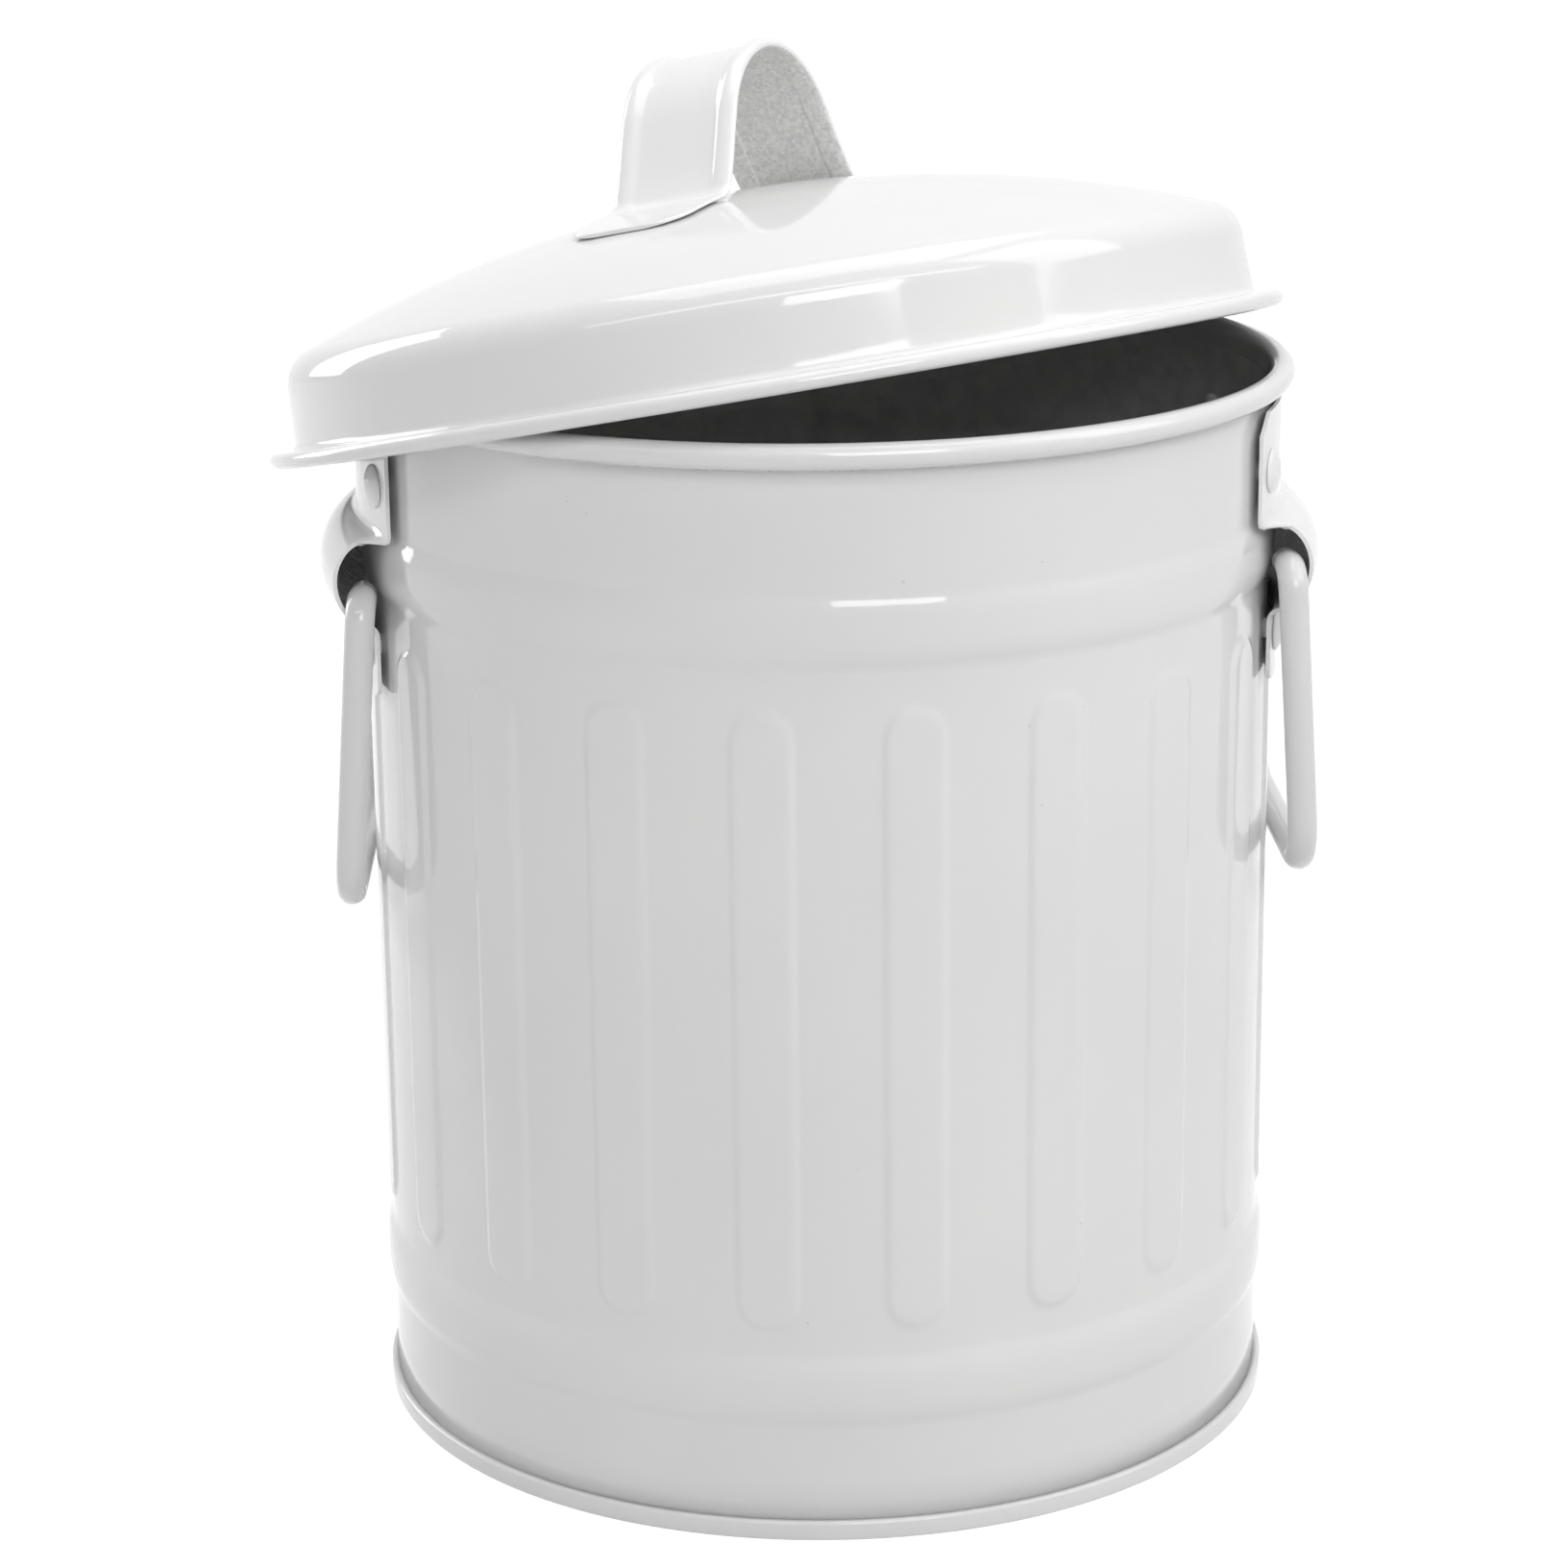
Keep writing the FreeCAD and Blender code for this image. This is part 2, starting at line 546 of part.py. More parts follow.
def strap_curve(depth):
    """Half of the strap's edge line, a depth under its outer face: the end of the crown, then
    the start and the end of the heel, where it meets the foot. Measured from the dome's top."""
    foot, heel, crown = value("strap_foot"), value("strap_heel"), value("strap_crown")
    dome = value("lid_dome + strap_sheet - strap_bed")
    slope = math.asin(foot / dome)
    crown_middle = FreeCAD.Vector(0, value("strap_top - strap_crown"), 0)
    down = FreeCAD.Vector(math.sin(slope), math.cos(slope), 0)
    heel_middle = FreeCAD.Vector(0, -value("lid_dome"), 0) + down * (dome + heel)
    span = heel_middle - crown_middle
    lean = math.atan2(span.y, span.x) - math.asin((crown + heel) / span.Length)
    side = FreeCAD.Vector(-math.sin(lean), math.cos(lean), 0)
    knee = crown_middle + side * (crown - depth)
    ankle = heel_middle - side * (heel + depth)
    return knee, ankle, heel_middle - down * (heel + depth)


def place(point, up, mirror=1):
    """A computed point as the two expressions that a sketch's path takes."""
    return f"{mirror * point.x}", f"{point.y + up}"


def make_lid_handle():
    """The strap handle: an arched strap with hemmed edges, its two feet lying on the dome."""
    body = new_body("lid_handle")
    top = shoulder_end(value("lid_shoulder"))[1]
    thick = value("strap_sheet")
    toe = value("strap_toe") + 2
    fall = value("lid_dome") - math.sqrt(value("lid_dome + strap_sheet - strap_bed") ** 2 - toe ** 2)
    knee, ankle, heel = strap_curve(0)
    low_knee, low_ankle, low_heel = strap_curve(thick)
    toe_up = f"{top - fall}"
    toe_low = f"{top - fall - thick - 1}"
    face, under = "lid_dome + strap_sheet - strap_bed", "strap_heel + strap_sheet"
    side = new_sketch(body, "side", "XZ_Plane")
    draw_path(side, [
        (f"{-toe}", toe_up, face, -1),
        place(heel, top, -1) + ("strap_heel", 1),
        place(ankle, top, -1),
        place(knee, top, -1) + ("strap_crown", -1),
        place(knee, top),
        place(ankle, top) + ("strap_heel", 1),
        place(heel, top) + (face, -1),
        (f"{toe}", toe_up),
        (f"{toe}", toe_low),
        place(low_heel, top) + (under, -1),
        place(low_ankle, top),
        place(low_knee, top) + ("strap_crown - strap_sheet", 1),
        place(low_knee, top, -1),
        place(low_ankle, top, -1) + (under, -1),
        place(low_heel, top, -1),
        (f"{-toe}", toe_low)])
    extrude(body, "strap", side, "strap_width", both=True)
    fold_knee, fold_ankle = strap_curve(2 * thick)[:2]
    for edge, lift, backwards in (("front", "strap_width / 2", True),
                                  ("rear", "-strap_width / 2", False)):
        hem = new_sketch(body, f"hem_{edge}", "XZ_Plane", lift=lift)
        draw_path(hem, [
            place(low_ankle, top, -1),
            place(low_knee, top, -1) + ("strap_crown - strap_sheet", -1),
            place(low_knee, top),
            place(low_ankle, top),
            place(fold_ankle, top),
            place(fold_knee, top) + ("strap_crown - 2 * strap_sheet", 1),
            place(fold_knee, top, -1),
            place(fold_ankle, top, -1)])
        extrude(body, f"hem_{edge}_fold", hem, "strap_hem", backwards=backwards)

    outline = new_sketch(body, "outline", "XY_Plane")
    draw_path(outline, [("-2 * strap_toe", "-strap_width"), ("2 * strap_toe", "-strap_width"),
                        ("2 * strap_toe", "strap_width"), ("-2 * strap_toe", "strap_width")])
    half, corner = "strap_width / 2", "strap_toe_corner"
    draw_path(outline, [
        (f"-(strap_toe - {corner})", f"-({half})"),
        (f"strap_toe - {corner}", f"-({half})", corner, 1),
        ("strap_toe", f"-({half} - {corner})"),
        ("strap_toe", f"{half} - {corner}", corner, 1),
        (f"strap_toe - {corner}", half),
        (f"-(strap_toe - {corner})", half, corner, 1),
        ("-strap_toe", f"{half} - {corner}"),
        ("-strap_toe", f"-({half} - {corner})", corner, 1)])
    extrude(body, "trim", outline, "200", cut=True, both=True)

    turn = FreeCAD.Rotation(Z_AXIS, value("strap_turn"))
    shift = FreeCAD.Vector(value("strap_shift"), 0, 0)
    bed = body.newObject("PartDesign::SubtractiveSphere", "lid_handle_bed")
    bed.setExpression("Radius", cells("lid_dome"))
    middle = turn.inverted().multVec(-shift) + FreeCAD.Vector(0, 0, top - value("lid_dome"))
    bed.Placement = FreeCAD.Placement(middle, FreeCAD.Rotation())
    body.Placement = lid_place().multiply(FreeCAD.Placement(shift, turn))
    return body


def main():
    parts = [make_can_wall(), make_rim_wire(), make_base_pan()]
    for side, turn in SIDES:
        parts.append(make_ear(side, turn))
        for name, angle, up in rivet_places(turn):
            parts.append(make_rivet(f"{side}_ear_rivet_{name}", turn, angle, up))
        parts.append(make_bail(side, turn))
    parts += [make_lid_shell(), make_lid_handle()]
    doc.recompute()
    return parts


parts = main()
for item in doc.Objects:
    if {"Invalid", "Error"} & set(item.State):
        raise RuntimeError(f"{item.Name} failed: {item.getStatusString()}")
os.makedirs("parts", exist_ok=True)
for item in parts:
    shape = item.Shape
    if shape.isNull() or not shape.isValid():
        raise RuntimeError(f"{item.Label} has no valid shape")
    box = shape.BoundBox
    print(f"{item.Label}: {len(shape.Solids)} solid, {shape.Volume:.0f} mm3, "
          f"x {box.XMin:.1f} {box.XMax:.1f} y {box.YMin:.1f} {box.YMax:.1f} "
          f"z {box.ZMin:.1f} {box.ZMax:.1f}")
    shape.exportStep(f"parts/{item.Label}.step")
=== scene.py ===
import math

import bmesh
import bpy
from mathutils import Matrix, Vector


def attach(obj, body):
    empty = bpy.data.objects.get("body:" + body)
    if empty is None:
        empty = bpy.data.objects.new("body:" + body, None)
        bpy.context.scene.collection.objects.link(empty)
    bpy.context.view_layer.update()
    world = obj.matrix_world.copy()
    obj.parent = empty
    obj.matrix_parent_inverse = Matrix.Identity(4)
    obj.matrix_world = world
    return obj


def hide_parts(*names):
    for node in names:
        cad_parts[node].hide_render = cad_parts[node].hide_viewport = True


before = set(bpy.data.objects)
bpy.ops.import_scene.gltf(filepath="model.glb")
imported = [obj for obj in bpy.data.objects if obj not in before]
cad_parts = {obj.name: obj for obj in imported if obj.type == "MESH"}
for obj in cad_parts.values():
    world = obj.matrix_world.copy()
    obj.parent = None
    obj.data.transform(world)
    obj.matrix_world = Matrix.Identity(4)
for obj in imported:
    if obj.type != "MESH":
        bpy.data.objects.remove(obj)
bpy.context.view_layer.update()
fullTurn = math.tau
millimetre = 0.001
weld, wideWeld = 0.0005, 0.001
print("frame loaded:", len(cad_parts), "nodes")


# materials

def newMaterial(name):
    mat = bpy.data.materials.new(name)
    mat.use_nodes = True
    tree = mat.node_tree
    tree.nodes.clear()
    shader = tree.nodes.new("ShaderNodeBsdfPrincipled")
    out = tree.nodes.new("ShaderNodeOutputMaterial")
    tree.links.new(shader.outputs["BSDF"], out.inputs["Surface"])
    coords = tree.nodes.new("ShaderNodeTexCoord")
    return mat, tree, shader, coords.outputs["Object"]


def addNoise(tree, coords, scale, detail, stretch=(1, 1, 1), kind="noise"):
    mapping = tree.nodes.new("ShaderNodeMapping")
    mapping.inputs["Scale"].default_value = stretch
    tree.links.new(coords, mapping.inputs["Vector"])
    if kind == "cells":
        node = tree.nodes.new("ShaderNodeTexVoronoi")
        node.inputs["Scale"].default_value = scale
        tree.links.new(mapping.outputs[0], node.inputs["Vector"])
        return node.outputs["Color"]
    node = tree.nodes.new("ShaderNodeTexNoise")
    node.inputs["Scale"].default_value = scale
    node.inputs["Detail"].default_value = detail
    tree.links.new(mapping.outputs[0], node.inputs["Vector"])
    return node.outputs["Fac"]


def addRamp(tree, value, stops):
    ramp = tree.nodes.new("ShaderNodeValToRGB")
    for i, (place, colour) in enumerate(stops):
        stop = ramp.color_ramp.elements[i]
        stop.position, stop.color = place, (*colour, 1)
    tree.links.new(value, ramp.inputs["Fac"])
    return ramp.outputs["Color"]


def addRange(tree, value, low, high, fromLow, fromHigh):
    node = tree.nodes.new("ShaderNodeMapRange")
    node.inputs["From Min"].default_value = fromLow
    node.inputs["From Max"].default_value = fromHigh
    node.inputs["To Min"].default_value = low
    node.inputs["To Max"].default_value = high
    tree.links.new(value, node.inputs["Value"])
    return node.outputs["Result"]


def addBump(tree, height, distance, below=None):
    bump = tree.nodes.new("ShaderNodeBump")
    bump.inputs["Distance"].default_value = distance
    bump.inputs["Strength"].default_value = 1.0
    tree.links.new(height, bump.inputs["Height"])
    if below:
        tree.links.new(below, bump.inputs["Normal"])
    return bump.outputs["Normal"]


def grey(level, tint=0.0):
    return (level, level, level * (1 - tint))


# noise mostly lies between these two values
noiseSpan = (0.3, 0.7)

paint = {"light": 0.80, "dark": 0.77, "tint": 0.004, "patchScale": 14, "rough": (0.045, 0.09),
         "roughScale": 90, "ior": 1.5, "wave": 0.00009, "waveScale": 38, "waveStretch": (1, 1, 0.6),
         "peel": 0.000004, "peelScale": 650, "speck": 0.66, "speckScale": 520, "speckFrom": (0.822, 0.845)}


def makePaint(name, wave=1.0, level=1.0):
    mat, tree, shader, coords = newMaterial(name)
    patches = addNoise(tree, coords, paint["patchScale"], 3)
    dark, light = grey(paint["dark"] * level), grey(paint["light"] * level, paint["tint"])
    colour = addRamp(tree, patches, zip(noiseSpan, (dark, light)))
    specks = addNoise(tree, coords, paint["speckScale"], 1)
    speckMask = addRange(tree, specks, 0, 1, *paint["speckFrom"])
    mix = tree.nodes.new("ShaderNodeMix")
    mix.data_type = "RGBA"
    tree.links.new(speckMask, mix.inputs["Factor"])
    tree.links.new(colour, mix.inputs[6])
    mix.inputs[7].default_value = (*grey(paint["speck"]), 1)
    tree.links.new(mix.outputs[2], shader.inputs["Base Color"])
    rough = addRange(tree, addNoise(tree, coords, paint["roughScale"], 4), *paint["rough"], *noiseSpan)
    tree.links.new(rough, shader.inputs["Roughness"])
    ripple = addNoise(tree, coords, paint["waveScale"], 2, paint["waveStretch"])
    waves = addBump(tree, ripple, paint["wave"] * wave)
    peel = addBump(tree, addNoise(tree, coords, paint["peelScale"], 2), paint["peel"], below=waves)
    tree.links.new(peel, shader.inputs["Normal"])
    shader.inputs["IOR"].default_value = paint["ior"]
    return mat


zinc = {"cloudScale": 0.7, "cloudShare": 0.55, "tint": 0.01, "grain": 0.00003}


def makeZinc(name, low, high, metallic, rough, scale):
    mat, tree, shader, coords = newMaterial(name)
    cells = addNoise(tree, coords, scale, 0, kind="cells")
    clouds = addNoise(tree, coords, scale * zinc["cloudScale"], 5)
    mix = tree.nodes.new("ShaderNodeMix")
    mix.data_type = "RGBA"
    mix.inputs["Factor"].default_value = zinc["cloudShare"]
    tree.links.new(cells, mix.inputs[6])
    tree.links.new(clouds, mix.inputs[7])
    bright = tree.nodes.new("ShaderNodeRGBToBW")
    tree.links.new(mix.outputs[2], bright.inputs["Color"])
    colour = addRamp(tree, bright.outputs["Val"], zip(noiseSpan, (grey(low), grey(high, zinc["tint"]))))
    tree.links.new(colour, shader.inputs["Base Color"])
    tree.links.new(addRange(tree, bright.outputs["Val"], *rough, *noiseSpan), shader.inputs["Roughness"])
    tree.links.new(addBump(tree, clouds, zinc["grain"]), shader.inputs["Normal"])
    shader.inputs["Metallic"].default_value = metallic
    return mat


wallPaint = makePaint("white gloss paint on the wall")
# the lid gets a slightly lighter copy of the white paint: painted light
lidPaintWithPaintedLight = makePaint("white gloss paint on the lid, lightened as painted light", 0.7, 1.02)
# the strap handle gets a lighter copy of the white paint: painted light
handlePaintWithPaintedLight = makePaint("white gloss paint on the strap handle", 0.5, 1.08)
# the ears and rivets get a lighter copy of the white paint: painted light where the lid's overhang shades
# them
earPaintWithPaintedLight = makePaint("white gloss paint on the ears and rivets", 0.5, 1.1)
# the bails get a darker copy of the white paint: painted shade
bailPaintWithPaintedShade = makePaint("white gloss paint on the bails, darkened as painted shade", 0.5, 0.92)
basePaint = makePaint("white gloss paint on the base", 0.5)
# the can's inside gets a lighter, smoother copy of the bare zinc: painted light in the shaded inside
insideZincWithPaintedLight = makeZinc("zinc inside the can, lightened as painted light", 0.72, 0.82, 0.2, (0.5, 0.7), 260)
bareZinc = makeZinc("mottled zinc", 0.60, 0.78, 0.2, (0.45, 0.65), 1500)
# inside the ears the mottling is the zinc's own, and its darker range is painted shade in the tunnels
earZincWithPaintedShade = makeZinc("mottled zinc inside the ears, darkened as painted shade", 0.35, 0.75, 0.3, (0.4, 0.6), 800)
wireSteel = makeZinc("steel wire", 0.40, 0.50, 0.8, (0.35, 0.5), 700)
print("materials made")


# shared modelling steps, in millimetres until a piece is finished

def startLine(bm, x, z):
    return bm.verts.new((x, 0, z))


def runTo(bm, vert, x, z, steps=1):
    start = vert.co.copy()
    for i in range(steps):
        vert = bmesh.ops.extrude_vert_indiv(bm, verts=[vert])["verts"][0]
        vert.co = start.lerp(Vector((x, 0, z)), (i + 1) / steps)
    return vert


def bendRound(bm, vert, x, z, degrees, steps):
    out = bmesh.ops.spin(bm, geom=[vert], cent=(x, 0, z), axis=(0, -1, 0), angle=math.radians(degrees),
                         steps=steps, use_merge=False, use_duplicate=False)
    return [item for item in out["geom_last"] if isinstance(item, bmesh.types.BMVert)][0]


def turnFull(bm, steps):
    bmesh.ops.spin(bm, geom=bm.verts[:] + bm.edges[:], cent=(0, 0, 0), axis=(0, 0, 1), angle=fullTurn,
                   steps=steps, use_merge=True, use_duplicate=False)
    bmesh.ops.remove_doubles(bm, verts=bm.verts[:], dist=weld)
    bmesh.ops.recalc_face_normals(bm, faces=bm.faces[:])


def flipUnless(bm, isRight):
    bm.normal_update()
    if not isRight(bm):
        bmesh.ops.reverse_faces(bm, faces=bm.faces[:])
        bm.normal_update()


def topFacesUp(bm):
    return max(bm.faces, key=lambda f: f.calc_center_median().z).normal.z > 0


def facesAway(face):
    # positive where the face looks away from the can's axis
    return face.normal.dot(Vector((*face.calc_center_median().xy, 0)))


bevelSteps, bevelAngle = 2, 50


def finishPiece(bm, name, body, nodes, materials, place=None, wall=0.0, offsets=(0, 0),
                edge=0.0):
    bmesh.ops.scale(bm, vec=(millimetre, millimetre, millimetre), verts=bm.verts[:])
    if place:
        bmesh.ops.transform(bm, matrix=place, verts=bm.verts[:])
    for face in bm.faces:
        face.smooth = True
    mesh = bpy.data.meshes.new(name)
    bm.to_mesh(mesh)
    bm.free()
    piece = bpy.data.objects.new(name, mesh)
    bpy.context.scene.collection.objects.link(piece)
    for mat in materials:
        mesh.materials.append(mat)
    if wall:
        thick = piece.modifiers.new("sheet", "SOLIDIFY")
        thick.thickness = wall * millimetre
        thick.offset = -1
        thick.use_even_offset = True
        thick.material_offset, thick.material_offset_rim = offsets
    if edge:
        soft = piece.modifiers.new("edges", "BEVEL")
        soft.width = edge * millimetre
        soft.segments = bevelSteps
        soft.limit_method = "ANGLE"
        soft.angle_limit = math.radians(bevelAngle)
        even = piece.modifiers.new("shading", "WEIGHTED_NORMAL")
        even.keep_sharp = True
    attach(piece, body)
    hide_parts(*nodes)
    return piece


def ease(t):
    t = min(max(t, 0.0), 1.0)
    return t * t * (3 - 2 * t)


# can wall; the base's sizes come first, because the lap seam starts above its fold

base = {"reach": 91.45, "seam": 3.9, "edge": 0.6, "fold": 0.8, "lift": 3.6, "step": 70.0, "stepRise": 1.5,
        "corner": 2.2, "lip": 0.6, "lap": 0.02, "tuck": 1.5, "steps": 240}

can = {"radius": 90.0, "foot": 0.7, "height": 213.5, "roll": 2.4, "reach": 94.3, "sheet": 0.5,
       "swages": ((30.2, 14.0), (178.2, 13.5)), "swageRise": 1.15, "swageShape": 3.2, "swageFillet": 0.06,
       "ribs": 20, "ribFirst": 9.0, "ribHalf": 6.3, "ribLow": 42.4, "ribHigh": 164.3, "ribRise": 0.6,
       "ribEdge": 1.3, "columns": 26, "columnPlaces": ((0, 0.0), (4, 3.6), (10, 7.2)),
       "seamHalf": 2.5, "seamEdge": 0.4, "seamRise": 0.45, "seamColumns": (0.0, 2.5, 2.9, 6.9),
       "rows": ((22.4, 2), (38, 16), (41, 1), (50.5, 11), (156.2, 3), (165.7, 11), (170.5, 1), (186, 16),
                (208, 3), (211.1, 1)), "plainFrom": 208, "paintTo": 207.5, "rollTurn": 312, "rollSteps": 16}


def swageHeight(up):
    # a broad low crown with steeper flanks and a small fillet where it meets the wall
    soft, shape = can["swageFillet"], can["swageShape"]
    for crown, span in can["swages"]:
        away = abs(up - crown) / (span / 2)
        if away < 1 - soft:
            return can["swageRise"] * (1 - away ** shape)
        if away < 1 + soft:
            return can["swageRise"] * (1 - (1 - soft) ** shape) * ((1 + soft - away) / (2 * soft)) ** 2
    return 0.0


def ribHeight(across, up):
    low, high = can["ribLow"] + can["ribHalf"], can["ribHigh"] - can["ribHalf"]
    beyond = max(low - up, up - high, 0.0)
    inside = can["ribHalf"] - math.hypot(across, beyond)
    return can["ribRise"] * ease(inside / can["ribEdge"])


def columnAcross(index, halfPitch):
    # columns stand close together at a rib's edges and wide apart between the ribs
    places = can["columnPlaces"] + ((can["columns"] / 2, halfPitch),)
    for (i, low), (j, high) in zip(places, places[1:]):
        if abs(index) <= j:
            return math.copysign(low + (high - low) * (abs(index) - i) / (j - i), index)


def seamHeight(behind, up):
    rise = ease((can["seamHalf"] + can["seamEdge"] - abs(behind)) / can["seamEdge"])
    return can["seamRise"] * rise * ease((up - base["seam"] - 1) / 1.0)


def makeCanWall():
    bm = bmesh.new()
    vert = startLine(bm, can["radius"], can["foot"])
    for top, steps in can["rows"]:
        vert = runTo(bm, vert, can["radius"], top, steps)
    middle = can["reach"] - can["roll"]
    bendRound(bm, vert, middle, can["height"] - can["roll"], -can["rollTurn"], can["rollSteps"])
    turnFull(bm, can["ribs"] * can["columns"])
    pitch = fullTurn / can["ribs"]
    first = math.radians(can["ribFirst"] - 90)
    halfPitch = pitch * can["radius"] / 2
    for vert in bm.verts:
        away, azimuth = math.hypot(vert.co.x, vert.co.y), math.atan2(vert.co.y, vert.co.x)
        rib = round((azimuth - first) / pitch)
        across = columnAcross(round(((azimuth - first) / pitch - rib) * can["columns"]), halfPitch)
        azimuth = first + rib * pitch + across / can["radius"]
        behind = (azimuth - math.pi / 2) * can["radius"]
        seamColumn = halfPitch - abs(across)
        if abs(behind) < can["seamColumns"][-1] + 0.1:
            last = len(can["seamColumns"]) - 1
            column = min(round(seamColumn / (halfPitch - can["columnPlaces"][-1][1]) * last), last)
            behind = math.copysign(can["seamColumns"][column], behind)
            azimuth = math.pi / 2 + behind / can["radius"]
        if vert.co.z < can["plainFrom"]:
            away += swageHeight(vert.co.z) + ribHeight(across, vert.co.z) + seamHeight(behind, vert.co.z)
        vert.co.x, vert.co.y = away * math.cos(azimuth), away * math.sin(azimuth)
    below = [f for f in bm.faces if f.calc_center_median().z < can["paintTo"]]
    flipUnless(bm, lambda mesh: sum(facesAway(f) for f in below) > 0)
    # the roll's hidden side is bare zinc (2) and its visible side, one slot further, is paint
    for face in bm.faces:
        face.material_index = 0 if face.calc_center_median().z < can["paintTo"] else 2
    return finishPiece(bm, "canWall", "can", ["can_wall"],
                       [wallPaint, insideZincWithPaintedLight, bareZinc, wallPaint], wall=can["sheet"], offsets=(1, 1))


makeCanWall()
print("can wall made")


# base pan

def makeBasePan():
    bm = bmesh.new()
    inner = can["radius"] - can["sheet"]
    floorUp, edge = base["lift"], base["reach"]
    vert = startLine(bm, 0, floorUp + base["stepRise"])
    vert = runTo(bm, vert, base["step"] - 3, floorUp + base["stepRise"], 6)
    vert = runTo(bm, vert, base["step"] + 1.5, floorUp, 6)
    vert = runTo(bm, vert, inner - base["corner"], floorUp, 4)
    vert = runTo(bm, vert, inner - base["lip"], floorUp - base["lip"], 2)
    vert = runTo(bm, vert, inner - base["lip"], 1.0, 2)
    vert = bendRound(bm, vert, inner + 0.2, base["fold"], 90, 4)
    vert = runTo(bm, vert, edge - base["fold"], 0)
    vert = bendRound(bm, vert, edge - base["fold"], base["fold"], 90, 5)
    vert = runTo(bm, vert, edge, base["seam"] - base["edge"], 2)
    vert = bendRound(bm, vert, edge - base["edge"], base["seam"] - base["edge"], 90, 5)
    vert = runTo(bm, vert, can["radius"] - base["lap"], base["seam"])
    runTo(bm, vert, can["radius"] - base["lap"], base["seam"] - base["tuck"])
    turnFull(bm, base["steps"])
    outermost = max(bm.faces, key=lambda f: f.calc_center_median().xy.length)
    flipUnless(bm, lambda mesh: facesAway(outermost) > 0)
    for vert in bm.verts:
        if vert.co.z < 0.004:
            vert.co.z = 0
    return finishPiece(bm, "basePan", "can", ["base_pan"], [basePaint])


makeBasePan()
print("base pan made")


# ears, with the tunnel that holds the bail's pins

ear = {"sheet": 1.0, "drawn": 0.8, "stand": 0.85, "flat": 7.0, "top": 206.8, "low": 152.5,
       "shoulder": 184.2, "half": 39.4, "halfTop": 34.5, "clip": 4.0, "halfLow": 30.3, "corner": 2.2,
       "tunnelHalf": 33.6, "tunnelRadius": 10.24, "tunnelOut": 89.16, "tunnelUp": 176.0, "tunnelBend": 34.2,
       "fillet": 2.4, "neckAbove": 3.5, "neckBelow": 1.2, "edge": 0.2, "inner": 32, "tab": 5}


def earRows():
    # from the top edge down: each row's height, and how far it stands out of the plate
    face = can["radius"] + ear["stand"] + ear["sheet"]
    out = face + ear["fillet"] - ear["tunnelOut"]
    reach = ear["tunnelRadius"] + ear["fillet"]
    rise = math.sqrt(reach ** 2 - out ** 2)
    lean = math.atan2(rise, out)
    turn = math.asin((ear["shoulder"] - ear["tunnelUp"]) / ear["tunnelRadius"])
    rows = []
    for i in range(9):
        rows.append((ear["top"] - i / 8 * ear["clip"], 0.0))
    clipLow = ear["top"] - ear["clip"]
    for i in range(1, 6):
        rows.append((clipLow - i / 5 * (clipLow - ear["tunnelUp"] - rise), 0.0))
    for i in range(1, 6):
        angle = lean * i / 5
        rows.append((ear["tunnelUp"] + rise - ear["fillet"] * math.sin(angle),
                     ear["fillet"] * (1 - math.cos(angle))))
    arc = [lean + (turn - lean) * i / 4 for i in range(1, 5)]
    arc += [turn + (-lean - turn) * i / 22 for i in range(1, 23)]
    for angle in arc:
        rows.append((ear["tunnelUp"] + ear["tunnelRadius"] * math.sin(angle),
                     ear["tunnelOut"] + ear["tunnelRadius"] * math.cos(angle) - face))
    for i in range(4, -1, -1):
        angle = lean * i / 5
        rows.append((ear["tunnelUp"] - rise + ear["fillet"] * math.sin(angle),
                     ear["fillet"] * (1 - math.cos(angle))))
    last = ear["tunnelUp"] - rise
    for i in range(1, 6):
        rows.append((last - i / 5 * (last - ear["low"] - ear["corner"]), 0.0))
    for i in range(1, 9):
        angle = math.radians(90 * i / 8)
        rows.append((ear["low"] + ear["corner"] * (1 - math.sin(angle)), 0.0))
    return rows


def outlineHalf(up):
    corner = ear["corner"]
    if up > ear["top"] - ear["clip"]:
        return ear["halfTop"] + (ear["half"] - ear["halfTop"]) * (ear["top"] - up) / ear["clip"]
    if up > ear["shoulder"] - 0.001:
        deep = max(corner - (up - ear["shoulder"]), 0.0)
        return ear["half"] - corner + math.sqrt(max(corner ** 2 - deep ** 2, 0.0))
    root = ear["tunnelUp"] - ear["tunnelRadius"]
    above, below = ear["neckAbove"], ear["neckBelow"]
    if up > root + above:
        return ear["tunnelHalf"]
    if up > root - below:
        share = ease((up - root + below) / (above + below))
        return ear["halfLow"] + (ear["tunnelHalf"] - ear["halfLow"]) * share
    deep = max(corner - (up - ear["low"]), 0.0)
    return ear["halfLow"] - corner + math.sqrt(max(corner ** 2 - deep ** 2, 0.0))


